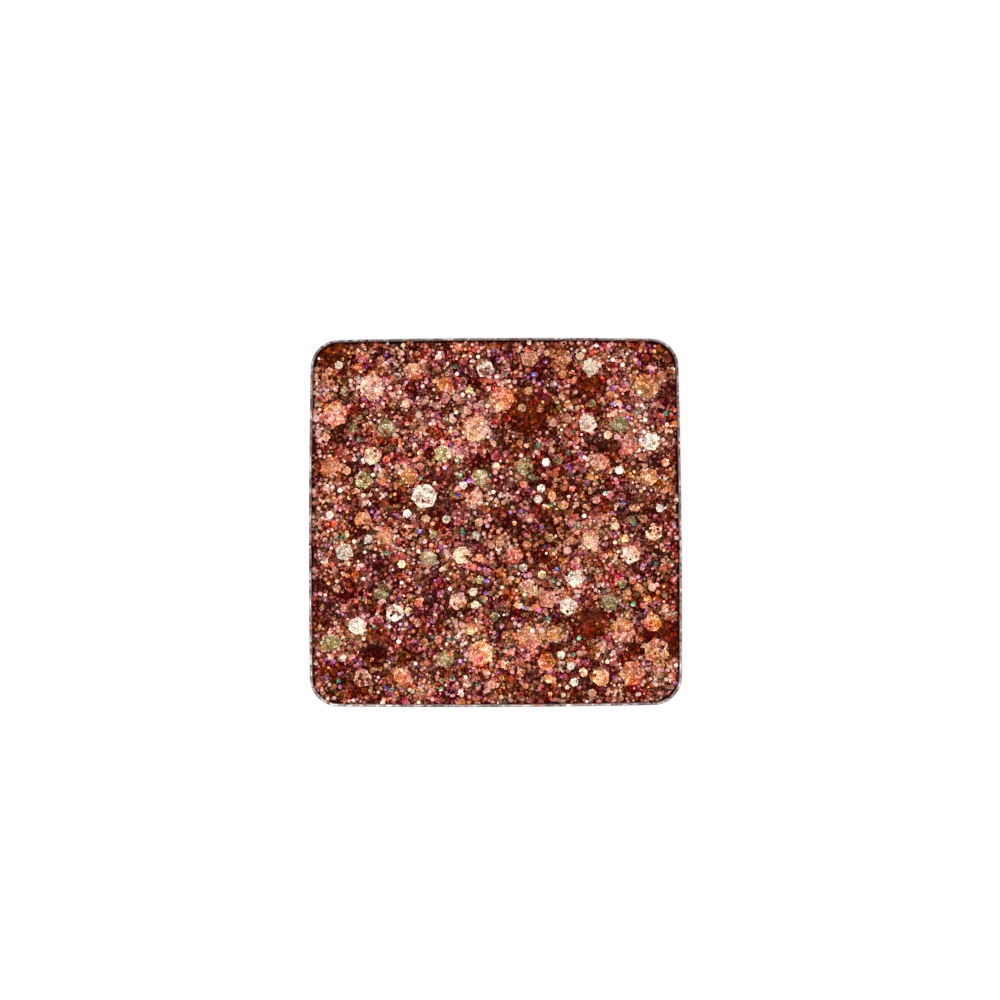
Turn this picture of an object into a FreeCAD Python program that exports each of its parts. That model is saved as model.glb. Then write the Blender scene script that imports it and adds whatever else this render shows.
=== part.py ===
import FreeCAD, Part
import math
import os
import random

import Sketcher
from FreeCAD import Placement, Rotation, Vector

# A single square refill pan of pressed glitter eyeshadow, in millimetres, lying with its glitter facing up.
# A thin tinplate tray is drawn with slightly bowed sides, rounded corners and ring beads in its floor.
# The glitter is pressed into it as one cake, and hexagonal film flakes of several cuts lie on the cake.
# The origin is the middle of the tray's underside, +Z is up, and +Y is the far side of the pan.

SIZES = {
    # The tray
    "pan_width": 26.0,
    "pan_length": 26.0,
    "pan_height": 4.5,
    "sheet_thickness": 0.2,
    "corner_radius": 2.0,
    "side_bow": 0.13,
    "base_radius": 0.9,
    "wall_draft": 6.0,
    "rim_ease": 0.06,
    # The ring beads pressed up into the tray's floor
    "bead_count": 2,
    "bead_first_radius": 3.6,
    "bead_pitch": 4.2,
    "bead_width": 1.0,
    "bead_flank": 0.25,
    "bead_rise": 0.15,
    # The pressed cake
    "fill_drop": 0.32,
    "cake_edge_ease": 0.2,
    # The glitter film and the flakes cut from it
    "film_thickness": 0.05,
    "flake_sink": 0.012,
    "jumbo_across": 1.85,
    "coarse_across": 1.3,
    "medium_across": 0.62,
    "fine_across": 0.32,
    "jumbo_tilt": 3.0,
    "coarse_tilt": 4.0,
    "medium_tilt": 7.0,
    "fine_tilt": 10.0,
}

# Places on the cake are in percent of the pan's half width and half length, so that they follow its size.
# Each flake keeps a round patch of the cake to itself, and a border along the wall stays free.
EDGE = 100.0
ROOM = {"jumbo": 8.0, "coarse": 5.5, "medium": 2.9, "fine": 1.7}
BORDER = 5.2
CORNER_POWER = 12

# Where the plainest flakes of each cut and film lie, read by eye from the photo
SPOTS = {
    ("jumbo", "copper"): [
        *[(82, 73), (-86, 59), (18, -63), (73, -82), (68, -59), (86, -70), (-8, -71), (4, 67)],
    ],
    ("jumbo", "champagne"): [(-66, 74), (-11, 50)],
    ("jumbo", "pearl"): [(-38, 14)],
    ("coarse", "copper"): [
        *[(-44, 82), (-27, 74), (-88, 31), (-46, 25), (83, 24), (37, 89), (-59, -7), (10, -18)],
        *[(28, -42), (32, -61), (84, -55), (27, -76), (56, -84), (-71, 1), (73, 41), (-50, -83)],
    ],
    ("coarse", "champagne"): [
        *[(-66, 36), (-18, -18), (73, -18), (85, -6), (51, -10), (18, -36), (-11, 12), (19, 89)],
        *[(56, 32), (-20, -43), (-71, -84)],
    ],
    ("coarse", "pearl"): [
        *[(-5, 83), (50, 53), (84, 43), (52, 84), (-74, -56), (-54, -49), (43, -31), (39, -46), (-81, -16)],
    ],
    ("coarse", "olive"): [
        *[(-58, 51), (-28, 37), (-8, 24), (-71, 23), (16, 30), (-36, -20), (-27, -74), (-88, -65)],
        *[(-61, -37), (61, -44), (68, 53)],
    ],
    ("medium", "champagne"): [(-7, 64), (46, 90), (58, -69), (91, -47), (-11, -45)],
    ("medium", "pearl"): [(-17, 20), (-82, -73), (-68, -9), (-12, -38), (15, -25), (35, -72), (40, -78)],
}

# How many more flakes are strewn among them by chance, the larger cut first
STREWN = {
    ("medium", "copper"): 30,
    ("medium", "champagne"): 23,
    ("medium", "pearl"): 11,
    ("medium", "olive"): 14,
    ("fine", "copper"): 30,
    ("fine", "violet"): 20,
    ("fine", "green"): 18,
    ("fine", "blue"): 8,
}
FLAKE_SIDES = 6
FLAKE_TRIES = 4000

# The least a flake is tipped, as a share of the most
LEAST_TILT = 0.25

# Heights closer than this are the same
SAME_HEIGHT = 1e-4

doc = FreeCAD.newDocument("GlitterPan")


def make_sheet():
    """Puts every driving size in a cell of its own, under its own name."""
    sheet = doc.addObject("Spreadsheet::Sheet", "Sizes")
    for row, (alias, value) in enumerate(SIZES.items(), start=1):
        sheet.set(f"A{row}", alias)
        sheet.set(f"B{row}", str(value))
        sheet.setAlias(f"B{row}", alias)
    doc.recompute()
    return sheet


sheet = make_sheet()


def value(expression):
    """What an expression over the sheet comes to."""
    return float(sheet.evalExpression(expression))


def size(alias):
    return value(f"Sizes.{alias}")


# The radius of each bowed side: its chord is the whole side, and its rise is the bow
SIDE_BEND = "Sizes.pan_length^2 / (8 * Sizes.side_bow)"
END_BEND = "Sizes.pan_width^2 / (8 * Sizes.side_bow)"
side_bend = value(SIDE_BEND)
end_bend = value(END_BEND)
cake_top = value("Sizes.pan_height - Sizes.fill_drop")

# How much wider a pressed bead is to each side on the sheet's upper face than on its lower one
BEAD_SPREAD = "Sizes.sheet_thickness * tan(atan(Sizes.bead_rise / Sizes.bead_flank) / 2)"

# How a sketch numbers a curve's points, its own origin and its axes
START, END, CENTRE = range(1, 4)
X_AXIS, Y_AXIS = range(-1, -3, -1)
ORIGIN = (X_AXIS, START)


def new_body(name):
    return doc.addObject("PartDesign::Body", name)


def new_sketch(body, name, role):
    sketch = body.newObject("Sketcher::SketchObject", name)
    plane = next(f for f in body.Origin.OriginFeatures if f.Role == role)
    sketch.AttachmentSupport = [(plane, "")]
    sketch.MapMode = "FlatFace"
    return sketch


def join(sketch, kind, *places):
    sketch.addConstraint(Sketcher.Constraint(kind, *places))


def bind(sketch, name, kind, places, expression):
    """Adds a constraint under a name, with its value tied to the sheet."""
    index = sketch.addConstraint(Sketcher.Constraint(kind, *places, value(expression)))
    sketch.renameConstraint(index, name)
    sketch.setExpression(f"Constraints.{name}", expression)


def corner_centre(side, end):
    """The middle of the rounded corner at +X +Y, which touches both bowed sides from inside."""
    reach_side = side_bend - size("corner_radius")
    reach_end = end_bend - size("corner_radius")
    apart = end - side
    along = (apart.Length**2 + reach_side**2 - reach_end**2) / (2 * apart.Length)
    across = math.sqrt(reach_side**2 - along**2)
    forward = apart / apart.Length
    return side + forward * along + Vector(-forward.y, forward.x, 0) * across


def arc(centre, radius, start, end):
    return Part.ArcOfCircle(Part.Circle(centre, Vector(0, 0, 1), radius), start, end)


def outline_arcs(inset):
    """The tray's outline, inset by this much: eight arcs that follow one another anticlockwise from +X."""
    side = Vector(size("pan_width") / 2 - side_bend, 0, 0)
    end = Vector(0, size("pan_length") / 2 - end_bend, 0)
    corner = corner_centre(side, end)
    side_half = math.atan2(corner.y, corner.x - side.x)
    end_half = math.atan2(corner.x, corner.y - end.y)
    corner_radius = size("corner_radius") - inset
    side_radius, end_radius = side_bend - inset, end_bend - inset
    quarter = math.pi / 2
    arcs = []
    for turn, flip in ((0, 1), (2, -1)):
        start = turn * quarter
        near = Vector(flip * corner.x, flip * corner.y, 0)
        far = Vector(-flip * corner.x, flip * corner.y, 0)
        arcs += [
            arc(side * flip, side_radius, start - side_half, start + side_half),
            arc(near, corner_radius, start + side_half, start + quarter - end_half),
            arc(end * flip, end_radius, start + quarter - end_half, start + quarter + end_half),
            arc(far, corner_radius, start + quarter + end_half, start + 2 * quarter - side_half),
        ]
    return arcs


def draw_outline(sketch, inset_alias):
    """Draws the bowed, round-cornered outline, inset by the size named, and ties it to the sheet."""
    less = f" - Sizes.{inset_alias}" if inset_alias else ""
    arcs = [sketch.addGeometry(a, False) for a in outline_arcs(size(inset_alias) if inset_alias else 0.0)]
    right, top, left, bottom = arcs[0::2]
    corners = arcs[1::2]
    for here, after in zip(arcs, arcs[1:] + arcs[:1]):
        join(sketch, "Tangent", here, END, after, START)
    for bowed, axis in ((right, X_AXIS), (left, X_AXIS), (top, Y_AXIS), (bottom, Y_AXIS)):
        join(sketch, "PointOnObject", bowed, CENTRE, axis)
    for corner in corners[1:]:
        join(sketch, "Equal", corners[0], corner)
    join(sketch, "Equal", right, left)
    join(sketch, "Equal", top, bottom)
    bind(sketch, "corner", "Radius", (corners[0],), "Sizes.corner_radius" + less)
    bind(sketch, "side", "Radius", (right,), SIDE_BEND + less)
    bind(sketch, "end", "Radius", (top,), END_BEND + less)
    side_place = SIDE_BEND + " - Sizes.pan_width / 2"
    end_place = END_BEND + " - Sizes.pan_length / 2"
    bind(sketch, "right_place", "DistanceX", (right, CENTRE, *ORIGIN), side_place)
    bind(sketch, "left_place", "DistanceX", (*ORIGIN, left, CENTRE), side_place)
    bind(sketch, "top_place", "DistanceY", (top, CENTRE, *ORIGIN), end_place)
    bind(sketch, "bottom_place", "DistanceY", (*ORIGIN, bottom, CENTRE), end_place)


def flat_at(kind, items, height):
    """The names of the edges or faces that lie flat at this height."""
    return [
        f"{kind}{number}"
        for number, item in enumerate(items, start=1)
        if max(abs(item.BoundBox.ZMin - height), abs(item.BoundBox.ZMax - height)) < SAME_HEIGHT
    ]


def upright(faces):
    """The names of the faces that rise."""
    return [
        f"Face{number}" for number, face in enumerate(faces, start=1) if face.BoundBox.ZLength > SAME_HEIGHT
    ]


def drawn_wall(body, name, inset_alias, depth):
    """Pads the rim's outline down by this depth, and drafts the walls to close in towards the floor."""
    sketch = new_sketch(body, name + "Outline", "XY_Plane")
    sketch.setExpression("AttachmentOffset.Base.z", "Sizes.pan_height")
    draw_outline(sketch, inset_alias)
    pad = body.newObject("PartDesign::Pad", name + "Pad")
    pad.Profile = sketch
    pad.Reversed = True
    pad.setExpression("Length", depth)
    doc.recompute()
    draft = body.newObject("PartDesign::Draft", name + "Draft")
    draft.Base = (pad, upright(pad.Shape.Faces))
    draft.NeutralPlane = (pad, flat_at("Face", pad.Shape.Faces, size("pan_height")))
    draft.Reversed = True
    draft.setExpression("Angle", "Sizes.wall_draft")
    doc.recompute()
    return draft


def round_edges(body, name, feature, height, radius):
    """Rounds the edges that lie flat at this height."""
    fillet = body.newObject("PartDesign::Fillet", name)
    fillet.Base = (feature, flat_at("Edge", feature.Shape.Edges, height))
    fillet.setExpression("Radius", radius)
    doc.recompute()
    return fillet


def ease_edges(body, name, feature, height, width):
    """Takes the sharpness off the edges that lie flat at this height."""
    chamfer = body.newObject("PartDesign::Chamfer", name)
    chamfer.Base = (feature, flat_at("Edge", feature.Shape.Edges, height))
    chamfer.setExpression("Size", width)
    doc.recompute()
    return chamfer


def draw_bead(sketch, ring, spread):
    """Draws one ring bead's section, a low trapezium that stands on the sketch's X axis."""
    middle = f"Sizes.bead_first_radius + {ring} * Sizes.bead_pitch"
    foot = f"(Sizes.bead_width / 2 + {spread})"
    crown = f"(Sizes.bead_width / 2 - Sizes.bead_flank + {spread})"
    reaches = [f"{middle} - {foot}", f"{middle} - {crown}", f"{middle} + {crown}", f"{middle} + {foot}"]
    heights = [0.0, size("bead_rise"), size("bead_rise"), 0.0]
    corners = [Vector(value(reach), height, 0) for reach, height in zip(reaches, heights)]
    lines = [
        sketch.addGeometry(Part.LineSegment(a, b), False) for a, b in zip(corners, corners[1:] + corners[:1])
    ]
    for number, line in enumerate(lines):
        join(sketch, "Coincident", line, END, lines[(number + 1) % len(lines)], START)
        bind(sketch, f"reach_{ring}_{number}", "DistanceX", (*ORIGIN, line, START), reaches[number])
        if heights[number]:
            bind(sketch, f"rise_{ring}_{number}", "DistanceY", (*ORIGIN, line, START), "Sizes.bead_rise")
        else:
            join(sketch, "PointOnObject", line, START, X_AXIS)


def groove_beads(body, name, lift, spread):
    """Turns the ring beads' sections about the pan's middle at this height, and cuts them from the body."""
    sketch = new_sketch(body, name + "Section", "XZ_Plane")
    sketch.setExpression("AttachmentOffset.Base.y", lift)
    for ring in range(round(size("bead_count"))):
        draw_bead(sketch, ring, spread)
    doc.recompute()
    whole = body.Shape.Volume
    groove = body.newObject("PartDesign::Groove", name)
    groove.Profile = sketch
    groove.ReferenceAxis = (sketch, ["V_Axis"])
    groove.Angle = 360
    doc.recompute()
    if not groove.Shape.Volume < whole:
        raise RuntimeError(f"{name} cut nothing")


def make_blank():
    """The tray's outside, filled in: drafted walls, round base edge, eased rim, and the beads' hollows."""
    body = new_body("PanBlank")
    wall = drawn_wall(body, "Blank", None, "Sizes.pan_height")
    base = round_edges(body, "BlankBase", wall, 0.0, "Sizes.base_radius")
    ease_edges(body, "BlankRim", base, size("pan_height"), "Sizes.rim_ease")
    groove_beads(body, "BlankBeads", "0", "0")
    return body


def make_cavity():
    """The tray's inside as a solid: it lies one sheet's thickness in from the outside all over."""
    body = new_body("PanCavity")
    depth = "Sizes.pan_height - Sizes.sheet_thickness"
    wall = drawn_wall(body, "Cavity", "sheet_thickness", depth)
    floor = size("sheet_thickness")
    round_edges(body, "CavityBase", wall, floor, "Sizes.base_radius - Sizes.sheet_thickness")
    groove_beads(body, "CavityBeads", "Sizes.sheet_thickness", BEAD_SPREAD)
    return body


def make_pan(blank, cavity):
    """The drawn tray."""
    pan = doc.addObject("Part::Cut", "Pan")
    pan.Base = blank
    pan.Tool = cavity
    pan.Label = "pan"
    doc.recompute()
    return pan


def make_cake(cavity):
    """The pressed glitter: it fills the tray to a little under the rim, and its top edge is worn off."""
    fill = doc.addObject("Part::Box", "FillLevel")
    fill.setExpression("Length", "Sizes.pan_width")
    fill.setExpression("Width", "Sizes.pan_length")
    fill.setExpression("Height", "Sizes.pan_height - Sizes.fill_drop")
    fill.setExpression("Placement.Base.x", "-Sizes.pan_width / 2")
    fill.setExpression("Placement.Base.y", "-Sizes.pan_length / 2")
    pressed = doc.addObject("Part::Common", "PressedFill")
    pressed.Base = cavity
    pressed.Tool = fill
    doc.recompute()
    cake = new_body("GlitterCake")
    cake.BaseFeature = pressed
    doc.recompute()
    ease_edges(cake, "CakeEdge", cake.Group[0], cake_top, "Sizes.cake_edge_ease")
    cake.Label = "glitter_cake"
    return cake


def make_flake(cut):
    """One flat hexagon die-cut from film, which every flake of its cut copies."""
    flake = doc.addObject("Part::Prism", f"{cut.capitalize()}Flake")
    flake.Polygon = FLAKE_SIDES
    flake.setExpression("Circumradius", f"Sizes.{cut}_across / 2")
    flake.setExpression("Height", "Sizes.film_thickness")
    doc.recompute()
    return flake


def is_free(x, y, room, taken):
    """Whether a patch of this room lies on the cake here, clear of the border and of the patches taken."""
    limit = EDGE - BORDER - room
    if abs(x / limit) ** CORNER_POWER + abs(y / limit) ** CORNER_POWER > 1:
        return False
    return all(math.hypot(x - a, y - b) > room + r for a, b, r in taken)


def strew(rng, room, taken):
    """A free place found by chance."""
    for _ in range(FLAKE_TRIES):
        place = (rng.uniform(-EDGE, EDGE), rng.uniform(-EDGE, EDGE))
        if is_free(*place, room, taken):
            return place
    raise RuntimeError("the cake has no room left")


def flake_places():
    """Where the flakes of each cut and film lie: the spots first, then the strewn ones among them."""
    places = {group: list(spots) for group, spots in SPOTS.items()}
    taken = [(*spot, ROOM[cut]) for (cut, film), spots in SPOTS.items() for spot in spots]
    for (cut, film), count in STREWN.items():
        for number in range(count):
            place = strew(random.Random(f"{cut} {film} {number}"), ROOM[cut], taken)
            taken.append((*place, ROOM[cut]))
            places.setdefault((cut, film), []).append(place)
    return places


def lay(rng, flake, tilt, place, below):
    """Lays a copy of the flake on the cake, turned and tipped by chance, its lowest corner pressed flat."""
    turned = Rotation(Vector(0, 0, 1), rng.uniform(0, 360 / FLAKE_SIDES))
    lean = rng.uniform(0, 2 * math.pi)
    tipped = Rotation(Vector(math.cos(lean), math.sin(lean), 0), rng.uniform(tilt * LEAST_TILT, tilt))
    shape = flake.Shape.copy()
    shape.Placement = Placement(Vector(), tipped * turned)
    lowest = min(vertex.Point.z for vertex in shape.Vertexes)
    x = place[0] / EDGE * size("pan_width") / 2
    y = place[1] / EDGE * size("pan_length") / 2
    z = cake_top - lowest - size("flake_sink")
    shape.Placement = Placement(Vector(x, y, z), tipped * turned)
    return shape.cut(below).Solids[0]


def make_flakes():
    """The flakes on the cake: one sub-part for each cut and film, and in it each flake is a solid."""
    below = Part.makeBox(size("pan_width"), size("pan_length"), cake_top)
    below.translate(Vector(-size("pan_width") / 2, -size("pan_length") / 2, 0))
    flakes = {cut: make_flake(cut) for cut in ROOM}
    groups = []
    for (cut, film), places in flake_places().items():
        tilt = size(f"{cut}_tilt")
        rng = random.Random(f"{cut} {film}")
        group = doc.addObject("Part::Feature", f"{cut.capitalize()}{film.capitalize()}")
        group.Shape = Part.makeCompound([lay(rng, flakes[cut], tilt, place, below) for place in places])
        group.Label = f"{cut}_{film}_flakes"
        groups.append(group)
    doc.recompute()
    return groups


def check(subparts):
    """Stops the build if anything failed to compute."""
    for item in doc.Objects:
        if "Invalid" in item.State or "Error" in item.State:
            raise RuntimeError(f"{item.Name} did not compute: {item.State}")
    for part in subparts:
        if part.Shape.isNull() or not part.Shape.isValid() or not part.Shape.Solids:
            raise RuntimeError(f"{part.Label} is not a sound solid")


def export(subparts):
    os.makedirs("parts", exist_ok=True)
    for part in subparts:
        part.Shape.exportStep(f"parts/{part.Label}.step")
        box = part.Shape.optimalBoundingBox(False, False)
        print(
            f"{part.Label}: {len(part.Shape.Solids)} solids, {part.Shape.Volume:.3f} mm3, "
            f"{box.XLength:.3f} x {box.YLength:.3f} x {box.ZLength:.3f} mm, from z {box.ZMin:.3f}"
        )


cavity = make_cavity()
subparts = [make_pan(make_blank(), cavity), make_cake(cavity), *make_flakes()]
check(subparts)
export(subparts)
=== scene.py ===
import math
from typing import NamedTuple

import bpy
import numpy as np
from bpy.props import FloatProperty, FloatVectorProperty, IntProperty, PointerProperty
from mathutils import Color, Euler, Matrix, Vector, noise


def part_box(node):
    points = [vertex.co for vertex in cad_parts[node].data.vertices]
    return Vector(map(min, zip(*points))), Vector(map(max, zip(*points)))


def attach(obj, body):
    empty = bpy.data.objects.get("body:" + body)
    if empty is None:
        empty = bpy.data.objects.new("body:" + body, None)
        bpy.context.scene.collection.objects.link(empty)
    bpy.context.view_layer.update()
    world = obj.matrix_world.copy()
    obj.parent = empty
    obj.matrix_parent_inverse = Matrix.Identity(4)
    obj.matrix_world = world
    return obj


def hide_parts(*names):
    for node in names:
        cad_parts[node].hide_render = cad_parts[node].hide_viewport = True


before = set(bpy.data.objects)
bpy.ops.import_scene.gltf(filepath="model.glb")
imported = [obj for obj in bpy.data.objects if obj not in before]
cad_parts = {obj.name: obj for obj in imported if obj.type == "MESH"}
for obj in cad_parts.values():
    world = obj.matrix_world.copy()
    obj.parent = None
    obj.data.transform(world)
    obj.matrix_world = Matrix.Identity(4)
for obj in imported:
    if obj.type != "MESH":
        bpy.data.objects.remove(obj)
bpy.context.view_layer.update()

bl_info = {
    "name": "Glitter Pan",
    "version": (1, 0, 0),
    "blender": (4, 5, 0),
    "location": "View3D > Sidebar > Glitter Pan",
    "description": "Dresses a square refill pan of pressed copper glitter and lights it from above",
    "category": "Object",
}

CAKE_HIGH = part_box("glitter_cake")[1]
PAN_LOW, PAN_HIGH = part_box("pan")
MM = 0.001

# Soft spots on the cake, in millimetres from its middle: x, y, radius.
# Salmon and cream drifts, where bright flakes gather
DRIFTS = [
    (2.4, -8.2, 2.0), (9.5, -10.7, 1.5), (8.8, -7.7, 1.5), (11.9, -10.2, 1.1), (-1.1, -9.3, 1.6),
    (-2.8, -7.9, 1.4), (0.5, 8.6, 1.5), (10.1, 5.8, 1.5), (-8.6, 9.7, 1.8), (-7.0, 9.3, 1.4),
    (-1.4, 6.5, 1.4), (5.5, 7.3, 1.5), (-11.4, 7.7, 1.4), (-11.6, 2.6, 1.6), (-8.8, 4.7, 1.0),
    (-6.0, 3.7, 1.2), (7.0, 4.2, 1.2), (9.3, 7.3, 1.6), (5.6, -3.8, 0.7), (9.4, -1.9, 1.2),
    (8.6, -5.6, 1.0), (6.6, -0.9, 1.1), (-2.5, -2.3, 1.0), (-9.8, -7.5, 1.4), (-11.4, -8.4, 1.4),
    (-4.9, -11.7, 1.6), (-7.4, -1.9, 1.2), (-10.5, -1.6, 1.1), (7.6, 12.0, 2.1), (10.5, 9.6, 2.0),
    (-6.0, 10.7, 1.3), (-3.2, 9.6, 0.8), (3.5, 1.6, 1.0), (-1.4, 12.0, 1.7), (-1.2, -6.9, 1.5),
    (7.3, -8.9, 1.0), (-2.4, 0.4, 1.2), (8.0, -4.5, 1.4), (-2.4, 5.0, 0.8), (-12.2, -10.8, 0.8),
    (-10.9, 1.4, 1.2), (-12.0, 9.4, 1.2), (-9.0, 12.2, 1.2), (-6.4, 12.3, 1.2), (3.0, 12.2, 1.4),
    (9.4, 12.0, 1.8), (-4.9, 11.9, 1.3), (12.2, -6.7, 0.9), (4.6, -5.6, 1.0), (8.4, -9.6, 1.1),
]
# Dark hollows, where the bed dips, few flakes lie, and those there are painted darker, as shade
HOLLOWS = [
    (-11.6, -6.1, 1.9), (-8.4, -9.2, 1.2), (-10.4, -10.8, 1.6), (-12.3, -4.7, 1.3), (-6.0, -9.3, 1.0),
    (-2.1, -5.9, 1.0), (-10.9, 6.5, 1.4), (-1.6, 10.2, 1.1), (-8.4, -3.0, 1.3), (-4.6, -3.7, 1.1),
    (0.9, 0.3, 1.4), (7.6, 5.4, 0.9), (12.4, 8.9, 1.2), (3.5, 3.0, 1.3), (2.1, -6.6, 0.9),
    (2.6, -2.2, 1.6), (-0.8, 4.3, 1.1), (11.2, 0.0, 1.5), (5.7, -11.2, 1.4), (-10.8, -5.0, 1.2),
    (11.6, 4.2, 1.1), (-9.9, 3.6, 1.0), (12.1, -8.4, 1.6), (6.8, 1.5, 1.3), (3.2, 11.0, 1.2),
    (1.0, 12.5, 0.7), (12.5, 11.4, 1.0), (-9.4, 0.0, 1.0), (1.8, -0.6, 1.2), (-4.5, 0.7, 1.3),
]
# Pits where the amber binder shows bare
AMBER_PITS = [
    (2.3, 7.9, 1.9), (6.8, 9.6, 1.3), (7.1, 8.0, 0.7), (6.6, -7.2, 1.5), (11.9, -8.2, 1.6),
    (-11.4, 12.1, 1.1),
]


def colour(name, description, *display):
    """A colour to choose, given as it shows on a display, from 0 to 255."""
    linear = Color([level / 255 for level in display]).from_srgb_to_scene_linear()
    return FloatVectorProperty(
        name=name, description=description, subtype="COLOR", size=3, min=0, max=1, default=tuple(linear)
    )


def length(name, description, millimetres):
    return FloatProperty(
        name=name, description=description, subtype="DISTANCE", unit="LENGTH", default=millimetres * MM
    )


def angle(name, description, degrees):
    return FloatProperty(
        name=name, description=description, subtype="ANGLE", unit="ROTATION", default=math.radians(degrees)
    )


def amount(name, description, default):
    return FloatProperty(name=name, description=description, default=default)


def optic(name, description, millimetres):
    return FloatProperty(name=name, description=description, unit="CAMERA", default=millimetres)


class TrayLook(bpy.types.PropertyGroup):
    """The tinplate tray"""

    tin: colour("Tin", "Colour of the tinplate", 188, 185, 184)
    # Bright and rubbed streak the plate along its marks: real marks and painted reflection together
    bright: colour("Bright tin", "Colour of the tinplate along its draw marks", 204, 201, 199)
    rubbed: colour("Rubbed tin", "Colour where the plate is rubbed dull", 162, 159, 159)
    steel: colour("Steel", "Colour of the bare steel at the cut rim", 128, 125, 122)
    grain: length("Grain", "Width of the marks in the plate", 0.07)
    scuff: length("Scuffs", "Height of the scuffed band at the foot of the walls", 0.9)
    cut: length("Cut", "Height of the cut at the rim", 0.05)
    dust: length("Dust", "Width of the glitter specks on the rim", 0.2)
    dustiness: amount("Dustiness", "How much glitter dust lies on the rim", 0.05)
    stained: length("Stain", "How far down the inside of the wall is stained with binder", 0.45)
    bare: length("Bare rim", "Width of the rim that is free of binder", 0.12)
    ragged: length("Ragged stain", "How unevenly the stain ends on the rim", 0.12)
    corner: length("Corner", "Radius of the tray's corners", 2.0)
    bow: length("Bow", "How far the tray's sides bow out", 0.13)


class BedLook(bpy.types.PropertyGroup):
    """The binder that the glitter is pressed into"""

    gel: colour("Gel", "Colour of the binder in the gaps", 48, 3, 0)
    gel_light: colour("Lit gel", "Colour of the binder where it is thin", 88, 24, 8)
    amber: colour("Amber", "Colour of the bare binder in the pits", 160, 56, 6)
    speck: length("Specks", "Width of the finest specks in the binder", 0.12)
    cell: length("Mesh step", "Step of the bed's mesh", 0.16)
    corner: length("Corner", "Radius of the bed's corners", 1.8)
    ripple: length("Ripples", "Width of the bed's small lumps", 0.9)
    swell: length("Swells", "Width of the bed's large lumps", 2.6)
    patch: length("Patches", "Width of the patches of fine flakes on the large ones", 0.7)
    sink: length("Sink", "How far the bed lies under the top of the pressed cake", 0.10)
    lump: length("Lumps", "Height of the bed's lumps", 0.12)
    pit: length("Pits", "Depth of the pits", 0.22)
    worn: length("Worn edge", "Width of the pressed cake's worn edge, which the bed fills up", 0.2)
    climb: length("Climb", "How far the glitter climbs the tray's wall", 0.16)
    climb_width: length("Climb width", "How far from the wall the glitter starts to climb", 0.7)
    margin: length("Margin", "How far the flakes' middles stay from the tray's wall", 0.02)


class GlitterLook(bpy.types.PropertyGroup):
    """The film flakes"""

    sunken: colour("Sunken", "Copper flakes under the binder", 158, 72, 46)
    copper: colour("Copper", "Copper film", 224, 116, 77)
    champagne: colour("Champagne", "Champagne film", 238, 165, 134)
    pearl: colour("Pearl", "Pearl film", 239, 217, 195)
    olive: colour("Olive", "Olive film", 158, 134, 88)
    violet: colour("Violet", "Colour-shift film that shows violet", 184, 84, 186)
    green: colour("Green", "Colour-shift film that shows green", 40, 158, 122)
    blue: colour("Blue", "Colour-shift film that shows blue", 74, 116, 220)
    # Painted highlights: the colours a flake is painted with as it catches the light
    catch: colour("Caught light", "Colour that a flake takes as it catches the light", 250, 221, 201)
    gold: colour("Caught gold", "Colour of a flake that catches the light under amber", 226, 136, 52)
    least: length("Least flake", "Width of the smallest strewn flakes across their corners", 0.18)
    most: length("Largest flake", "Width of the largest strewn flakes across their corners", 0.37)
    tilt: angle("Tilt", "How far a flake may tip", 15)
    seed: IntProperty(name="Seed", description="Changes how the flakes fall", default=7)


class StageLook(bpy.types.PropertyGroup):
    """The floor, the light and the camera"""

    floor: colour("Floor", "Colour of the floor", 216, 216, 216)
    fill: amount("Fill", "What the floor adds of its own, so that it shows white", 0.51)
    sky: amount("Sky", "Strength of the light from all round", 0.62)
    overhead: amount("Overhead", "Strength of the sky straight up, as a mirror shows it", 0.75)
    sun: amount("Sun", "Strength of the soft lamp", 1.02)
    sun_angle: angle("Softness", "Width of the soft lamp", 14)
    lean: angle("Lean", "How far the camera leans from straight down, towards the near side", 8.1)
    spin: angle("Spin", "How far the pan is turned in view", 0.25)
    lens: optic("Lens", "Focal length", 140)
    sensor: optic("Sensor", "Width of the sensor", 36)


# Nodes

WHITE = (1, 1, 1, 1)


def put(tree, kind, inputs=None, **settings):
    """Adds a node, sets it up, and gives each of its inputs named a value or a link."""
    node = tree.nodes.new(kind)
    for name, setting in settings.items():
        setattr(node, name, setting)
    for key, given in (inputs or {}).items():
        if isinstance(given, bpy.types.NodeSocket):
            tree.links.new(given, node.inputs[key])
        else:
            node.inputs[key].default_value = given
    return node


def new_material(name):
    """An empty material, its node tree and its shader."""
    material = bpy.data.materials.new(name)
    material.use_nodes = True
    tree = material.node_tree
    tree.nodes.clear()
    shader = tree.nodes.new("ShaderNodeBsdfPrincipled")
    put(tree, "ShaderNodeOutputMaterial", {"Surface": shader.outputs["BSDF"]})
    return material, tree, shader


def ramp(tree, factor, stops):
    """A colour ramp through these (place, colour) stops, in order."""
    stops = list(stops)
    node = put(tree, "ShaderNodeValToRGB", {"Fac": factor})
    elements = node.color_ramp.elements
    for place, _ in stops[1:-1]:
        elements.new(place)
    for element, (place, tint) in zip(elements, stops):
        element.position = place
        element.color = (*tint, 1)
    return node.outputs["Color"]


def mixed(first, second, share):
    return tuple(a + (b - a) * share for a, b in zip(first, second))


def mix_colour(tree, share, first, second):
    return put(tree, "ShaderNodeMix", {0: share, 6: first, 7: second}, data_type="RGBA").outputs[2]


def maths(tree, operation, first, second=0.0, clamp=False):
    inputs = {0: first, 1: second}
    return put(tree, "ShaderNodeMath", inputs, operation=operation, use_clamp=clamp).outputs[0]


def vector_maths(tree, operation, *parts):
    return put(tree, "ShaderNodeVectorMath", dict(enumerate(parts)), operation=operation).outputs


def swing(tree, given, width):
    """Turns a number from 0 to 1 into one that swings about 0, this wide."""
    return maths(tree, "MULTIPLY", maths(tree, "SUBTRACT", given, 0.5), width)


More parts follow.
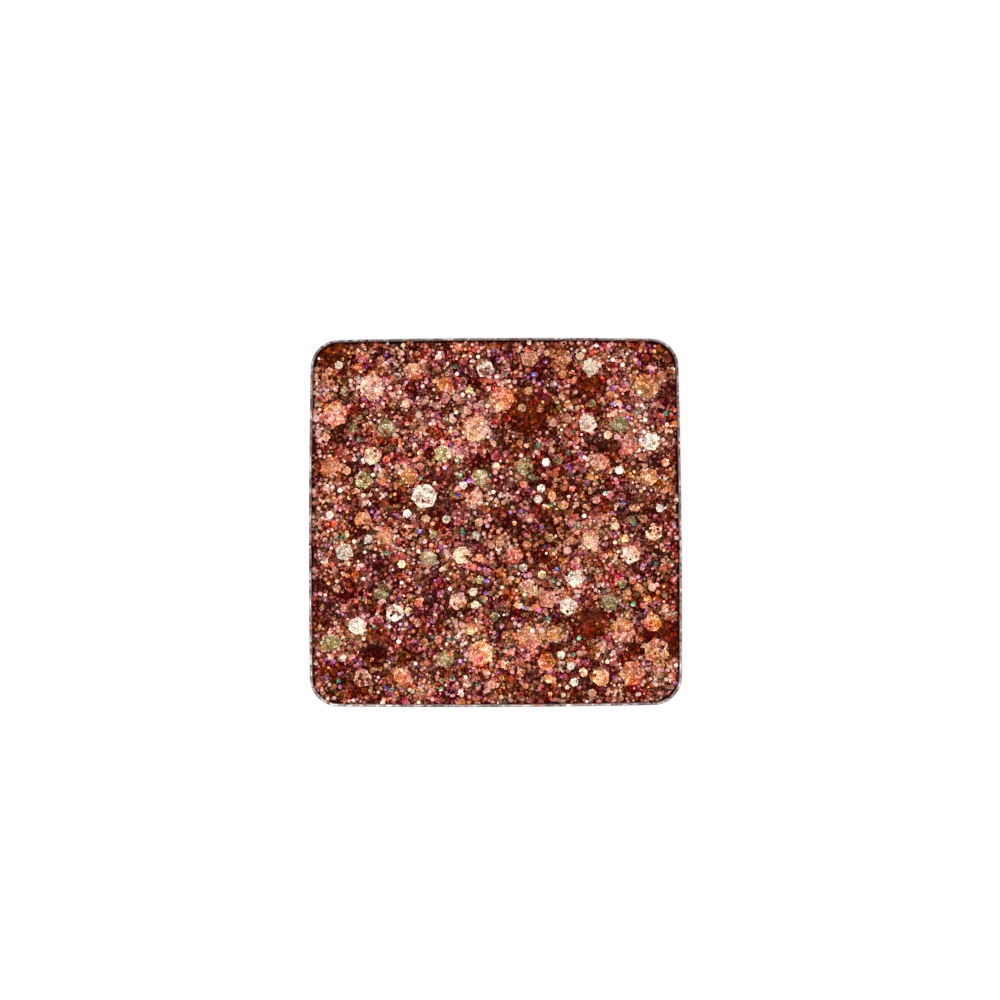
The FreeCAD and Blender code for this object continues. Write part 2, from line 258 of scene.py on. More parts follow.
def carry(tree, given, low, high, start=0.0, end=1.0):
    """Carries a number over from start and end to low and high, and stops there."""
    inputs = {"Value": given, "From Min": start, "From Max": end, "To Min": low, "To Max": high}
    return put(tree, "ShaderNodeMapRange", inputs).outputs["Result"]


def clouds(tree, place, scale, detail, roughness=0.5):
    """Smooth noise, as a number and as a colour."""
    inputs = {"Vector": place, "Scale": scale, "Detail": detail, "Roughness": roughness}
    return put(tree, "ShaderNodeTexNoise", inputs).outputs


def channels(tree, tint):
    return put(tree, "ShaderNodeSeparateColor", {0: tint}).outputs


def specks(tree, place, width):
    """Three numbers by chance for each speck of about this width."""
    cells = put(tree, "ShaderNodeTexVoronoi", {"Vector": place, "Scale": 1 / width})
    return channels(tree, cells.outputs["Color"])


def axes(tree, vector):
    return put(tree, "ShaderNodeSeparateXYZ", {0: vector}).outputs


def joined(tree, parts):
    return put(tree, "ShaderNodeCombineXYZ", parts).outputs[0]


def object_place(tree):
    return tree.nodes.new("ShaderNodeTexCoord").outputs["Object"]


def attribute(tree, name):
    return put(tree, "ShaderNodeAttribute", attribute_name=name).outputs["Fac"]


def emboss(tree, shader, height, strength, depth):
    """Gives the shader a bump that follows this height."""
    bump = put(tree, "ShaderNodeBump", {"Strength": strength, "Distance": depth, "Height": height})
    tree.links.new(bump.outputs["Normal"], shader.inputs["Normal"])


# Pieces

# Corners of a CAD mesh that lie nearer than this, in metres, are one
MERGE_DISTANCE = 1e-7


def deselect():
    if bpy.context.object and bpy.context.object.mode != "OBJECT":
        bpy.ops.object.mode_set(mode="OBJECT")
    bpy.ops.object.select_all(action="DESELECT")


def activate(piece):
    deselect()
    piece.select_set(True)
    bpy.context.view_layer.objects.active = piece


def apply_modifier(piece, kind, **settings):
    """Adds a modifier to the piece, sets it up and applies it."""
    activate(piece)
    modifier = piece.modifiers.new(kind.capitalize(), kind)
    for name, setting in settings.items():
        setattr(modifier, name, setting)
    bpy.ops.object.modifier_apply(modifier=modifier.name)


def own_copy(source, name):
    """A copy of an object with a mesh of its own, free of the frame."""
    piece = source.copy()
    piece.data = source.data.copy()
    piece.name = piece.data.name = name
    piece.parent = None
    for key in list(piece.keys()):
        del piece[key]
    bpy.context.scene.collection.objects.link(piece)
    return piece


def merged_copy(node, name):
    """A copy of a CAD node with its loose triangles joined."""
    piece = own_copy(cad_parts[node], name)
    activate(piece)
    bpy.ops.object.mode_set(mode="EDIT")
    bpy.ops.mesh.select_all(action="SELECT")
    bpy.ops.mesh.remove_doubles(threshold=MERGE_DISTANCE)
    bpy.ops.object.mode_set(mode="OBJECT")
    piece.data.materials.clear()
    return piece


def join(pieces):
    """Joins pieces into the first of them."""
    activate(pieces[0])
    for piece in pieces[1:]:
        piece.select_set(True)
    if len(pieces) > 1:
        bpy.ops.object.join()
    return pieces[0]


def dress(piece, material):
    piece.data.materials.clear()
    piece.data.materials.append(material)


def hand_over(piece, material, slot, *replaced):
    """Gives a finished piece its material, and sets it in the frame."""
    dress(piece, material)
    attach(piece, "root")
    if replaced:
        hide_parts(*replaced)


# The tray

# How far the marks in the plate are drawn out, up the walls and along the floor
DRAW_MARKS = (1, 1, 0.03)
ROLL_MARKS = (0.02, 1, 1)
MARK_DETAIL = 4.0
MARK_ROUGHNESS = 0.6
MARK_BUMP = 0.12
MARK_DEPTH = 0.01 * MM
# A face is part of the floor, or of the rim's top, where its normal's upright part is more than this
LYING = 0.7
SCUFF_DETAIL = 5.0
SCUFF_WEAR = 0.2
# Where the plate's shades lie, from rubbed to bright, partly painted reflection, and how rough it is there
PLATE_STOPS = (0.3, 0.5, 0.68)
PLATE_ROUGHNESS = (0.42, 0.18)
# Where the cut rim's shades lie, from grimy to clean to painted glints, and how spotted they are
RIM_STOPS = (0.36, 0.48, 0.58, 0.72)
RIM_SPOTS = 0.35
# What shows through the binder's stain: steel on the rim, and copper glitter on the wall
RIM_STAIN_STEEL = 0.28
WALL_STAIN_COPPER = 0.35
STAIN_FADE = 0.2
BLOT_DETAIL = 2.0
# What the depth under the rim adds to the smears on the wall, and the sums at which one begins and covers
SMEAR_DEPTH = (0.05, 0.5)
SMEAR_START, SMEAR_FULL = 0.35, 0.95
# How much more dust sticks to a stain, and how bright the dust is on the wall and on the rim
STAIN_DUST = 4.0
WALL_DUST, RIM_DUST = 0.8, 0.4


def rim_gap(tree, place, look):
    """How far a point lies inside the tray's outline, a square with bowed sides and round corners."""
    across, along, _ = axes(tree, vector_maths(tree, "ABSOLUTE", place)[0])
    straight = PAN_HIGH.x - look.corner
    reaches = []
    for reach, other in ((across, along), (along, across)):
        bowed = maths(tree, "MULTIPLY", maths(tree, "POWER", other, 2.0), look.bow / PAN_HIGH.x**2)
        reaches.append(maths(tree, "SUBTRACT", maths(tree, "ADD", reach, bowed), straight))
    beyond = {axis: maths(tree, "MAXIMUM", reach, 0.0) for axis, reach in enumerate(reaches)}
    outside = vector_maths(tree, "LENGTH", joined(tree, beyond))["Value"]
    within = maths(tree, "MINIMUM", maths(tree, "MAXIMUM", *reaches), 0.0)
    return maths(tree, "SUBTRACT", look.corner, maths(tree, "ADD", outside, within))


def tin_material(look, rim_stain, wall_stain, dust_shades):
    """Bright tinplate: marks up its walls and along its floor, streaked with painted reflection,
    grimy steel at the rim with painted glints, stained inside.
    """
    material, tree, shader = new_material("tinplate")
    place = object_place(tree)
    height = axes(tree, place)[2]
    normal = tree.nodes.new("ShaderNodeTexCoord").outputs["Normal"]
    lying = maths(tree, "GREATER_THAN", maths(tree, "ABSOLUTE", axes(tree, normal)[2]), LYING)
    stretch = put(tree, "ShaderNodeMix", {0: lying, 4: DRAW_MARKS, 5: ROLL_MARKS}, data_type="VECTOR")
    drawn = vector_maths(tree, "MULTIPLY", place, stretch.outputs[1])[0]
    marks = clouds(tree, drawn, 1 / look.grain, MARK_DETAIL, MARK_ROUGHNESS)["Fac"]
    cloud = clouds(tree, place, 1 / look.scuff, SCUFF_DETAIL)["Fac"]
    low = carry(tree, height, 0.0, SCUFF_WEAR, look.scuff, PAN_LOW.z)
    # The marks and scuffs streak the plate lighter and darker, partly as painted reflection
    worn = maths(tree, "SUBTRACT", marks, maths(tree, "MULTIPLY", cloud, low))
    plain = ramp(tree, worn, zip(PLATE_STOPS, (look.rubbed, look.tin, look.bright)))

    cut = maths(tree, "GREATER_THAN", height, PAN_HIGH.z - look.cut)
    chance = specks(tree, place, look.dust)
    # The rim's spots: the dark ones are binder grime, the palest are painted glints of lighter tin
    grime_and_glints = maths(tree, "ADD", cloud, swing(tree, chance[2], RIM_SPOTS))
    edge = ramp(tree, grime_and_glints, zip(RIM_STOPS, (rim_stain, look.steel, look.steel, look.tin)))
    rimmed = mix_colour(tree, cut, plain, edge)

    blot = clouds(tree, place, 1 / look.dust, BLOT_DETAIL)["Fac"]
    inside = maths(tree, "ADD", rim_gap(tree, place, look), swing(tree, blot, look.ragged))
    inner = carry(tree, inside, 0.0, 1.0, (1 - STAIN_FADE) * look.bare, (1 + STAIN_FADE) * look.bare)
    upper = maths(tree, "GREATER_THAN", height, PAN_HIGH.z - look.stained)
    stained = maths(tree, "MULTIPLY", inner, upper)
    depth = carry(tree, height, *SMEAR_DEPTH, PAN_HIGH.z, CAKE_HIGH.z)
    smear = carry(tree, maths(tree, "ADD", blot, depth), 0.0, 1.0, SMEAR_START, SMEAR_FULL)
    covered = maths(tree, "MULTIPLY", stained, maths(tree, "MAXIMUM", cut, smear))
    stain = mix_colour(tree, cut, (*wall_stain, 1), (*rim_stain, 1))
    soiled = mix_colour(tree, covered, rimmed, stain)

    reached = maths(tree, "ADD", cut, maths(tree, "MULTIPLY", stained, STAIN_DUST))
    dusty = maths(tree, "LESS_THAN", chance[0], maths(tree, "MULTIPLY", reached, look.dustiness))
    dim = maths(tree, "MULTIPLY", chance[1], carry(tree, cut, WALL_DUST, RIM_DUST))
    tint = mix_colour(tree, dusty, soiled, ramp(tree, dim, dust_shades))
    tree.links.new(tint, shader.inputs["Base Color"])
    shader.inputs["Metallic"].default_value = 1.0
    tree.links.new(carry(tree, worn, *PLATE_ROUGHNESS), shader.inputs["Roughness"])
    emboss(tree, shader, marks, MARK_BUMP, MARK_DEPTH)
    return material


# The bed

# What the bed is like from spot to spot: a level, and the weight of each field painted on it
# GLOW sways the flakes' painted light: painted shade in hollows and pits, painted light near the wall
GLOW = {
    "level": 0.46, "fine": 0.38, "broad": 0.28, "drift": 0.55, "hollow": -0.7, "bare": -0.3, "wall": 0.35
}
COVER = {"level": 0.72, "broad": 0.5, "drift": 0.4, "hollow": -0.8, "bare": -1.05}
LEAST_COVER = 0.04
DEEP_COVER = {"level": 1.0, "bare": -0.5}
# PATCH lays more fine flakes over the large ones in the hollows, as painted shade there
PATCH = {"level": 0.35, "patch": 2.5, "drift": -0.3, "hollow": 0.8}
PATCH_CUTS = 3
DIP = {"hollow": 0.6, "bare": 1.0}
LUMPS = {"fine": 0.6, "broad": 0.4}
BARE_EDGE = 1.7
BARE_RAGGED = 0.3
# Where in the noise the small and the large lumps are read
FINE_SHIFT = 3.1
BROAD_SHIFT = 11.7
# How many steps of its mesh the bed's top is deep
TOP_STEPS = 2
# The binder's clouds to the millimetre, its shades' places, and its surface
GEL_CLOUDS = 2.2
GEL_DETAIL = 4.0
GEL_CLOUD_ROUGHNESS = 0.6
GEL_SPECKS = 0.5
GEL_STOPS = (0.4, 0.8)
BARE_STOPS = (0.35, 0.5, 0.75)
GEL_ROUGHNESS = 0.3
GEL_SHINE = 0.03
GEL_BUMP = 0.5
GEL_DEPTH = 0.05 * MM


def vertex_places(piece):
    """The places of a mesh's vertices, one row each."""
    places = np.empty(3 * len(piece.data.vertices), dtype=np.float32)
    piece.data.vertices.foreach_get("co", places)
    return places.reshape(-1, 3)


def wall_gap(places, corner):
    """How far each point of the cake lies from its outline, a square with round corners."""
    beyond = np.abs(places[:, :2]) - (CAKE_HIGH.x - corner)
    outside = np.linalg.norm(np.maximum(beyond, 0), axis=1)
    return corner - outside - np.minimum(beyond.max(axis=1), 0)


def nearness(places, spots):
    """How deep each point lies in the nearest of these round spots, from 0 outside to 1 at the middle."""
    best = np.zeros(len(places))
    for x, y, radius in spots:
        apart = np.hypot(places[:, 0] - x * MM, places[:, 1] - y * MM) / (radius * MM)
        best = np.maximum(best, 1 - apart)
    return best


def grown(places, scale, shift):
    """Smooth noise from -1 to 1 whose lumps are about this large."""
    return np.array(
        [noise.noise(Vector((x / scale + shift, y / scale - shift, shift))) for x, y, _ in places]
    )


def weigh(fields, weights, least=0.0):
    """Adds up the fields by their weights, and keeps the sum between the least and 1."""
    total = weights.get("level", 0.0)
    for name, weight in weights.items():
        if name != "level":
            total = total + weight * fields[name]
    return np.clip(total, least, 1.0)


def paint(piece, name, weights):
    """Keeps one number for each vertex under this name."""
    layer = piece.data.attributes.new(name, "FLOAT", "POINT")
    layer.data.foreach_set("value", np.asarray(weights, dtype=np.float32))


def spot_fields(places, look):
    """What lies at each point: lumps small and large, drifts, hollows, bare amber and the wall."""
    fields = {
        "fine": grown(places, look.ripple, FINE_SHIFT),
        "broad": grown(places, look.swell, BROAD_SHIFT),
        "drift": nearness(places, DRIFTS),
        "hollow": nearness(places, HOLLOWS),
    }
    pit = np.clip(BARE_EDGE * nearness(places, AMBER_PITS), 0, 1)
    fields["bare"] = np.clip(pit * (1 + BARE_RAGGED * fields["fine"]), 0, 1)
    fields["wall"] = np.clip(1 - wall_gap(places, look.corner) / look.climb_width, 0, 1) ** 2
    return fields


def press_bed(look):
    """The lumpy bed of binder: it fills the tray as the pressed cake does, with its top roughened."""
    bed = merged_copy("glitter_cake", "glitter_bed")
    apply_modifier(bed, "REMESH", mode="VOXEL", voxel_size=look.cell)
    places = vertex_places(bed)
    fields = spot_fields(places, look)
    top = places[:, 2] > CAKE_HIGH.z - TOP_STEPS * look.cell
    gap = wall_gap(places, look.corner)
    edge = top * np.clip(gap / look.margin - 1, 0, 1)
    paint(bed, "cover", edge * weigh(fields, COVER, LEAST_COVER))
    paint(bed, "deep_cover", edge * weigh(fields, DEEP_COVER))
    paint(bed, "glow", weigh(fields, GLOW))
    paint(bed, "amber", fields["bare"])
    lumps = LUMPS["fine"] * fields["fine"] + LUMPS["broad"] * fields["broad"]
    drop = look.sink + look.pit * weigh(fields, DIP) - look.lump * lumps
    drop = drop * (1 - fields["wall"]) - look.climb * fields["wall"]
    places[:, 2] += top * (np.clip(look.worn - gap, 0, look.worn) - drop)
    bed.data.vertices.foreach_set("co", places.ravel())
    bed.data.update()
    activate(bed)
    bpy.ops.object.shade_smooth()
    return bed


def gel_material(look):
    """The binder: a dark maroon gel, amber where it is bare."""
    material, tree, shader = new_material("glitter_binder")
    place = object_place(tree)
    cloud = clouds(tree, place, GEL_CLOUDS / MM, GEL_DETAIL, GEL_CLOUD_ROUGHNESS)["Fac"]
    grain = maths(tree, "ADD", cloud, swing(tree, specks(tree, place, look.speck)[0], GEL_SPECKS))
    gel = ramp(tree, grain, zip(GEL_STOPS, (look.gel, look.gel_light)))
    bare = ramp(tree, grain, zip(BARE_STOPS, (look.gel, look.gel_light, look.amber)))
    tint = mix_colour(tree, attribute(tree, "amber"), gel, bare)
    tree.links.new(tint, shader.inputs["Base Color"])
    shader.inputs["Roughness"].default_value = GEL_ROUGHNESS
    shader.inputs["Specular IOR Level"].default_value = GEL_SHINE
    emboss(tree, shader, cloud, GEL_BUMP, GEL_DEPTH)
    return material


# The flakes

# One flake, one unit across its corners
FLAKE_SIDES = 6
FLAKE_RADIUS = 0.5
FLAKE_THICKNESS = 0.11
FLAKE_TOP = 0.88
FLAKE_DOME = 0.05
# A face is a flake's top or back where its normal's upright part is more than this
FLAT = 0.9
# Where a flake's two sides lie in its square of the map, and how wide
FRONT_MIDDLE = (0.33, 0.5)
BACK_MIDDLE = (0.82, 0.5)
TOP_WIDTH = 0.62
EDGE_WIDTH = 0.66
BACK_WIDTH = 0.36
MAP_STRETCH = 1.4
# Flakes fall where the ground's normal has an upright part of more than this
UPWARD = 0.6
# How many places are tried in each square of the spacing
TRIES = 2.0
# What each flake draws by chance; its tone and ring are painted light and shade
TONE_SKEW = 1.3
WARMTH_PART = (0.05, 0.45)
# The ring paints a flake's rim darker, as shade, below zero, and lighter, as a highlight, above zero
RING = (-0.5, 0.45)
# The number that sets each of these draws apart from the others, and each scatter from the next
LIFT_DRAW, TONE_DRAW, LEAN_DRAW, SIZE_DRAW, WARM_DRAW, SECOND_WARM_DRAW, RING_DRAW = range(1, 8)
SEED_STEP = 10
# How far over a large flake the fine ones lie, in millimetres
ON_CUT = (0.01, 0.04)


class Fall(NamedTuple):
    """One scatter of fine flakes: the piece it goes into, the ground it lies on, and how it lies there"""

    piece: str
    ground: str
    layer: str
    spacing: float
    share: float
    lift: tuple
    tone: tuple
    gain: float
    grade: float = 1.0

    @property
    def film(self):
        return self.piece.split("_")[-2]


# Spacing and lift are in millimetres, and share is of the places that the spacing leaves. Tone runs from
# lost to bright: painted reflection, how much light a flake catches. Gain is how much the ground's glow,
# its painted light and shade, sways it, and grade enlarges the flakes.
FALLS = [
    Fall("sunken_glitter", "bed", "deep_cover", 0.175, 1.0, (0.00, 0.03), (0.0, 0.8), 0.4),
    Fall("low_copper_glitter", "bed", "cover", 0.21, 0.95, (0.02, 0.06), (0.0, 0.68), 0.5),
    Fall("copper_glitter", "bed", "cover", 0.24, 0.75, (0.05, 0.10), (0.1, 1.0), 0.7),
    Fall("copper_glitter", "copper_cuts", "patch", 0.24, 0.9, ON_CUT, (0.3, 1.0), 0.6),
    Fall("copper_glitter", "champagne_cuts", "patch", 0.22, 1.0, ON_CUT, (0.1, 0.95), 0.6),
    Fall("copper_glitter", "pearl_cuts", "patch", 0.22, 0.6, ON_CUT, (0.25, 0.95), 0.6),
    Fall("copper_glitter", "olive_cuts", "patch", 0.24, 0.7, ON_CUT, (0.1, 0.85), 0.6),
    Fall("champagne_glitter", "bed", "cover", 0.55, 0.5, (0.07, 0.12), (0.2, 1.0), 0.6),
    Fall("champagne_glitter", "champagne_cuts", "cover", 0.26, 1.0, ON_CUT, (0.25, 0.9), 0.6),
    Fall("champagne_glitter", "copper_cuts", "cover", 0.45, 0.5, ON_CUT, (0.35, 0.9), 0.6),
    Fall("olive_glitter", "bed", "cover", 0.40, 0.45, (0.04, 0.10), (0.0, 0.8), 0.3),
    Fall("olive_glitter", "olive_cuts", "patch", 0.26, 0.5, ON_CUT, (0.2, 0.8), 0.6),
    Fall("pearl_glitter", "bed", "cover", 0.95, 0.65, (0.08, 0.13), (0.5, 1.0), 0.7),
    Fall("pearl_glitter", "pearl_cuts", "cover", 0.26, 0.6, ON_CUT, (0.35, 0.9), 0.6),
    Fall("champagne_glitter", "pearl_cuts", "cover", 0.30, 0.6, ON_CUT, (0.3, 0.9), 0.6),
    Fall("violet_glitter", "bed", "cover", 0.85, 0.6, (0.08, 0.13), (0.4, 1.0), 0.2),
    Fall("violet_glitter", "bed", "cover", 0.45, 0.08, (0.02, 0.07), (0.05, 0.5), 0.4),
    Fall("green_glitter", "bed", "cover", 1.25, 0.25, (0.08, 0.13), (0.4, 0.9), 0.2),
    Fall("blue_glitter", "bed", "cover", 1.9, 0.15, (0.08, 0.13), (0.4, 0.9), 0.2),
    Fall("low_copper_glitter", "bed", "cover", 0.65, 0.55, (0.01, 0.05), (0.0, 0.7), 0.6, 2.0),
    Fall("copper_glitter", "bed", "cover", 0.75, 0.5, (0.04, 0.09), (0.15, 0.85), 0.7, 1.8),
    Fall("olive_glitter", "bed", "cover", 1.0, 0.35, (0.02, 0.07), (0.0, 0.6), 0.3, 1.9),
    Fall("champagne_glitter", "bed", "cover", 1.2, 0.35, (0.05, 0.09), (0.2, 0.9), 0.6, 1.7),
]
# The large flakes that fine ones lie on
CUTS = {
    "copper_cuts": ["jumbo_copper_flakes", "coarse_copper_flakes"],
    "champagne_cuts": ["jumbo_champagne_flakes", "coarse_champagne_flakes"],
    "pearl_cuts": ["jumbo_pearl_flakes", "coarse_pearl_flakes"],
    "olive_cuts": ["coarse_olive_flakes"],
}


def select_faces(piece, wanted):
    """Selects the faces that pass a test, with their edges and vertices, and nothing else."""
    mesh = piece.data
    for part in (*mesh.vertices, *mesh.edges, *mesh.polygons):
        part.select = False
    for face in mesh.polygons:
        face.select = wanted(face)


def cut_flake():
    """A flake: a thin hexagon whose cut edge slopes a little."""
    deselect()
    bpy.ops.mesh.primitive_cylinder_add(
        vertices=FLAKE_SIDES,
        radius=FLAKE_RADIUS,
        depth=FLAKE_THICKNESS,
        end_fill_type="NGON",
        calc_uvs=False,
    )
    flake = bpy.context.object
    select_faces(flake, lambda face: face.normal.z > FLAT)
    bpy.ops.object.mode_set(mode="EDIT")
    bpy.ops.transform.resize(value=(FLAKE_TOP, FLAKE_TOP, 1))
    bpy.ops.mesh.poke()
    bpy.ops.object.mode_set(mode="OBJECT")
    return marked(flake, "flake")


def cut_sunken_flake():
    """A flake under the binder: a hexagon drawn up into a shallow dome, with few faces."""
    deselect()
    bpy.ops.mesh.primitive_circle_add(
        vertices=FLAKE_SIDES, radius=FLAKE_RADIUS, fill_type="NGON", calc_uvs=False
    )
    flake = bpy.context.object
    bpy.ops.object.mode_set(mode="EDIT")
    bpy.ops.mesh.select_all(action="SELECT")
    bpy.ops.mesh.duplicate()
    bpy.ops.mesh.flip_normals()
    bpy.ops.object.mode_set(mode="OBJECT")
    select_faces(flake, lambda face: face.normal.z > 0)
    bpy.ops.object.mode_set(mode="EDIT")
    bpy.ops.mesh.poke(offset=FLAKE_DOME)
    bpy.ops.mesh.select_all(action="SELECT")
    bpy.ops.mesh.remove_doubles()
    bpy.ops.object.mode_set(mode="OBJECT")
    return marked(flake, "sunken_flake")


def marked(flake, name):
    """Names a flake, marks its rim and its two ends, and lays its faces out in one square of its map."""
    flake.name = flake.data.name = name
    reach = [vertex.co.xy.length / (FLAKE_RADIUS * FLAKE_TOP) for vertex in flake.data.vertices]
    paint(flake, "rim", np.minimum(reach, 1.0))
    paint(flake, "across", [vertex.co.x / FLAKE_RADIUS for vertex in flake.data.vertices])
    lay_map(flake)
    return flake


def lay_map(flake):
    """Lays the flake flat in its map: its top and edge as seen from above, and its back beside them."""
    layer = flake.data.uv_layers.new(name="OFBake")
    for face in flake.data.polygons:
        back = face.normal.z < -FLAT
        for corner in face.loop_indices:
            x, y, z = flake.data.vertices[flake.data.loops[corner].vertex_index].co
            width = BACK_WIDTH if back else TOP_WIDTH if z > 0 else EDGE_WIDTH
            middle = BACK_MIDDLE if back else FRONT_MIDDLE
            layer.data[corner].uv = (middle[0] + x * width, middle[1] + y * width * MAP_STRETCH)


def strew_tree(flake, fall, sizes, tilt, seed):
    """Geometry nodes that strew flakes over the upper side of a mesh, each with a look of its own."""
    tree = bpy.data.node_groups.new(fall.piece, "GeometryNodeTree")
    tree.interface.new_socket("Geometry", in_out="INPUT", socket_type="NodeSocketGeometry")
    tree.interface.new_socket("Geometry", in_out="OUTPUT", socket_type="NodeSocketGeometry")
    ground = tree.nodes.new("NodeGroupInput").outputs[0]

    def number(low, high, draw):
        inputs = {2: low, 3: high, "Seed": seed + draw}
        return put(tree, "FunctionNodeRandomValue", inputs, data_type="FLOAT").outputs[1]

    def painted(layer):
        node = put(tree, "GeometryNodeInputNamedAttribute", {"Name": layer}, data_type="FLOAT")
        return node.outputs[0]

    def kept(geometry, name, given):
        inputs = {"Geometry": geometry, "Name": name, "Value": given}
        settings = {"data_type": "FLOAT", "domain": "POINT"}
        return put(tree, "GeometryNodeStoreNamedAttribute", inputs, **settings).outputs[0]

    upright = axes(tree, tree.nodes.new("GeometryNodeInputNormal").outputs[0])[2]
    spacing = fall.spacing * MM
    points = put(
        tree,
        "GeometryNodeDistributePointsOnFaces",
        {
            "Mesh": ground,
            "Selection": maths(tree, "GREATER_THAN", upright, UPWARD),
            "Distance Min": spacing,
            "Density Max": TRIES / spacing**2,
            "Density Factor": maths(tree, "MULTIPLY", painted(fall.layer), fall.share, True),
            "Seed": seed,
        },
        distribute_method="POISSON",
    ).outputs
    low, high = fall.lift
    rise = joined(tree, {2: number(low * MM, high * MM, LIFT_DRAW)})
    lifted = put(tree, "GeometryNodeSetPosition", {"Geometry": points["Points"], "Offset": rise})
    # Each flake's tone is painted reflection: how much light it catches, by chance and by the ground's
    # glow
    chance = maths(tree, "POWER", number(0.0, 1.0, TONE_DRAW), TONE_SKEW)
    sway = swing(tree, painted("glow"), fall.gain)
    tone = maths(tree, "ADD", carry(tree, chance, *fall.tone), sway, True)
    toned = kept(lifted.outputs[0], "tone", tone)
    warmth = maths(tree, "ADD", number(*WARMTH_PART, WARM_DRAW), number(*WARMTH_PART, SECOND_WARM_DRAW))
    warmed = kept(toned, "warmth", warmth)
    # The ring: painted shade along the rim of some flakes, a painted highlight along that of others
    ringed = kept(warmed, "ring", number(*RING, RING_DRAW))
    lean = put(
        tree,
        "FunctionNodeRandomValue",
        {0: (-tilt, -tilt, 0.0), 1: (tilt, tilt, math.tau), "Seed": seed + LEAN_DRAW},
        data_type="FLOAT_VECTOR",
    ).outputs[0]
    turn = put(tree, "FunctionNodeEulerToRotation", {0: lean}).outputs[0]
    turned = put(
        tree, "FunctionNodeRotateRotation", {0: points["Rotation"], 1: turn}, rotation_space="LOCAL"
    ).outputs[0]
    pattern = put(tree, "GeometryNodeObjectInfo", {"Object": flake, "As Instance": True})
    laid = put(
        tree,
        "GeometryNodeInstanceOnPoints",
        {
            "Points": ringed,
            "Instance": pattern.outputs["Geometry"],
            "Rotation": turned,
            "Scale": number(*sizes, SIZE_DRAW),
        },
    ).outputs[0]
    flakes = put(tree, "GeometryNodeRealizeInstances", {"Geometry": laid}).outputs[0]
    put(tree, "NodeGroupOutput", {0: flakes})
    return tree


def strew(ground, flake, fall, sizes, tilt, seed):
    """Strews flakes over a copy of the ground, and keeps only the flakes."""
    piece = own_copy(ground, fall.piece)
    tree = strew_tree(flake, fall, sizes, tilt, seed)
    apply_modifier(piece, "NODES", node_group=tree)
    bpy.data.node_groups.remove(tree)
    piece.data.materials.clear()
    return piece


def lay_ground(nodes, look):
    """Copies of these large flakes, joined, with patches painted on them for fine flakes to lie on."""
    ground = join([merged_copy(node, "ground") for node in nodes])
    activate(ground)
    bpy.ops.object.mode_set(mode="EDIT")
    bpy.ops.mesh.select_all(action="SELECT")
    bpy.ops.mesh.subdivide(number_cuts=PATCH_CUTS)
    bpy.ops.object.mode_set(mode="OBJECT")
    places = vertex_places(ground)
    fields = spot_fields(places, look)
    fields["patch"] = grown(places, look.patch, FINE_SHIFT)
    paint(ground, "cover", np.ones(len(places)))
    paint(ground, "glow", weigh(fields, GLOW))
    paint(ground, "patch", weigh(fields, PATCH))
    return ground


def spread_map(piece, corners):
    """Moves each flake's part of the map to a square of its own."""
    layer = piece.data.uv_layers["OFBake"]
    places = np.empty(2 * len(layer.data), dtype=np.float32)
    layer.data.foreach_get("uv", places)
    places = places.reshape(-1, corners, 2)
    columns = math.ceil(math.sqrt(len(places)))
    numbers = np.arange(len(places))
    squares = np.stack([numbers % columns, numbers // columns], axis=1)
    layer.data.foreach_set("uv", ((places + squares[:, None, :]) / columns).ravel())


# The film

# Where a film's shades lie, from lost in the binder to catching the light, and what each is mixed from:
# the share of film in a dim flake, and of caught light in a bright one. The bright shades are painted
# highlights: the light a flake catches is painted into its colour
FILM_STOPS = (0.0, 0.32, 0.64, 0.86, 1.0)
DIM_SHARE = 0.30
LIT_SHARE = 0.45
CAUGHT_SHARE = 0.85
# The mottle's clouds to the millimetre, and how far they sway the tone, painting small glints and dark
# specks
MOTTLES = 8.0
MOTTLE_DETAIL = 4.0
MOTTLE_SWING = 0.9
# How much brighter a flake under amber binder shows
AMBER_LIFT = 0.15
# The hue at the pink and at the warm end, of a dim and of a bright flake, where 0.5 leaves it as it is
PINK_HUES = (0.484, 0.439)
WARM_HUES = (0.524, 0.538)
# The broad drift of hue and strength over the pan: its clouds to the millimetre, and its reach
WANDERS = 0.8
WANDER_DETAIL = 2.0
WANDER_SWING = 1.4
STRENGTHS = (0.86, 1.10)
STRENGTH_START, STRENGTH_END = 0.3, 0.7
FILM_METAL = 0.4
FILM_ROUGHNESS = 0.32
# How closely a strewn flake's painted rim shade and highlight keep to its edge, and how much lighter one
# end is painted, as light falls on a tipped flake
RIM_POWER = 4.0
END_SLOPE = 0.18
# The larger cuts: cells to the millimetre with their tones and warmths, each tone painting the light its
# cell catches, the dark lines between them, and clouds to the millimetre where the film is half lost
CELLS = 4.6
CELL_TONES = (0.40, 0.90)
CELL_WARMTHS = (0.5, 0.9)
LINE_SHADE = -0.42
LINE_WIDTH = 0.16
LOST_CLOUDS = 1.1
LOST_DETAIL = 2.0
LOST_SWING = 0.6


def film_shades(gel, tint, catch):
    """The shades of one film, from lost in the binder to catching the light as painted highlights."""
    dim = mixed(gel, tint, DIM_SHARE)
    lit = mixed(tint, catch, LIT_SHARE)
    caught = mixed(tint, catch, CAUGHT_SHARE)
    return list(zip(FILM_STOPS, (tuple(gel), dim, tuple(tint), lit, caught)))


